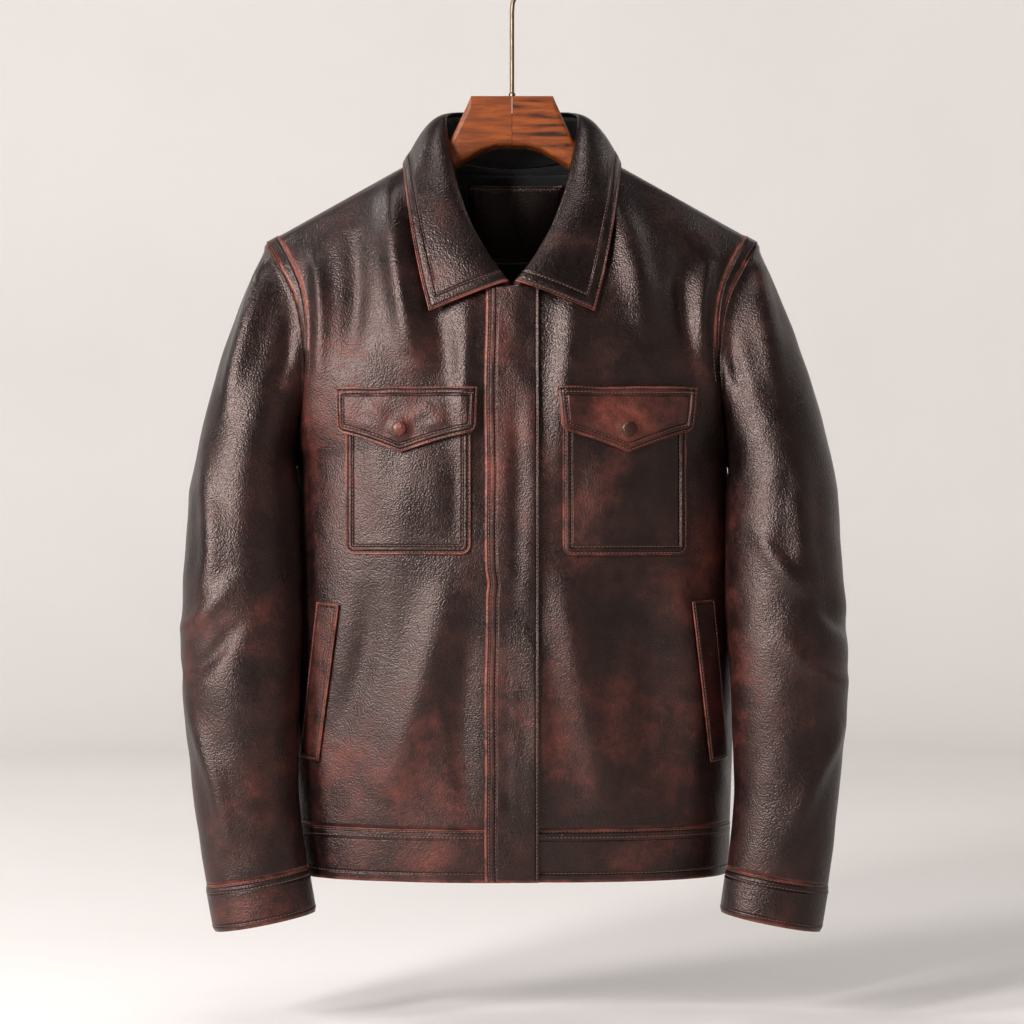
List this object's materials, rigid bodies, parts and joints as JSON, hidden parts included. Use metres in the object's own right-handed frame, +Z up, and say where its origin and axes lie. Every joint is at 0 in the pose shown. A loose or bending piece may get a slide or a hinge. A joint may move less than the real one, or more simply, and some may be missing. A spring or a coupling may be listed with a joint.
{
  "type": "leather coat on hanger",
  "caption": "Worn shirt-collar leather jacket with flap chest pockets, slanted hand pockets, covered front strip and hem band, hanging open-hollow on a shaped wooden hanger.",
  "frame": {"origin": "inside top of the hanger's hook, where it rests on a rail", "axes": "+X to the wearer's left, -Y out of the front, +Z up"},
  "size_m": [0.625, 0.2041, 0.9352],
  "materials": {
    "leather": "waxed grain, rubbed through to rust brown at edges and high places",
    "lining": "matt woven lining",
    "patch_leather": "smooth dark leather",
    "snap_leather": "leather-covered cap, rubbed",
    "wood": "satin varnish",
    "hook_steel": "dark bronze plating"
  },
  "bodies": {
    "root": {"front_left": "leather", "front_right": "leather", "back": "leather", "hem_front_left": "leather", "hem_front_right": "leather", "hem_back": "leather", "sleeve_left": "leather", "cuff_left": "leather", "sleeve_right": "leather", "cuff_right": "leather", "collar_stand": "leather", "collar_leaf": "leather", "placket": "leather", "chest_pocket_left": "leather", "pocket_flap_left": "leather", "chest_pocket_right": "leather", "pocket_flap_right": "leather", "welt_left": "leather", "welt_right": "leather", "back_lining": "lining", "neck_patch": "patch_leather", "snap_left": "snap_leather", "snap_right": "snap_leather", "hanger_arm_left": "wood", "hanger_arm_right": "wood", "hanger_ferrule": "hook_steel", "hanger_hook": "hook_steel"}
  },
  "joints": []
}
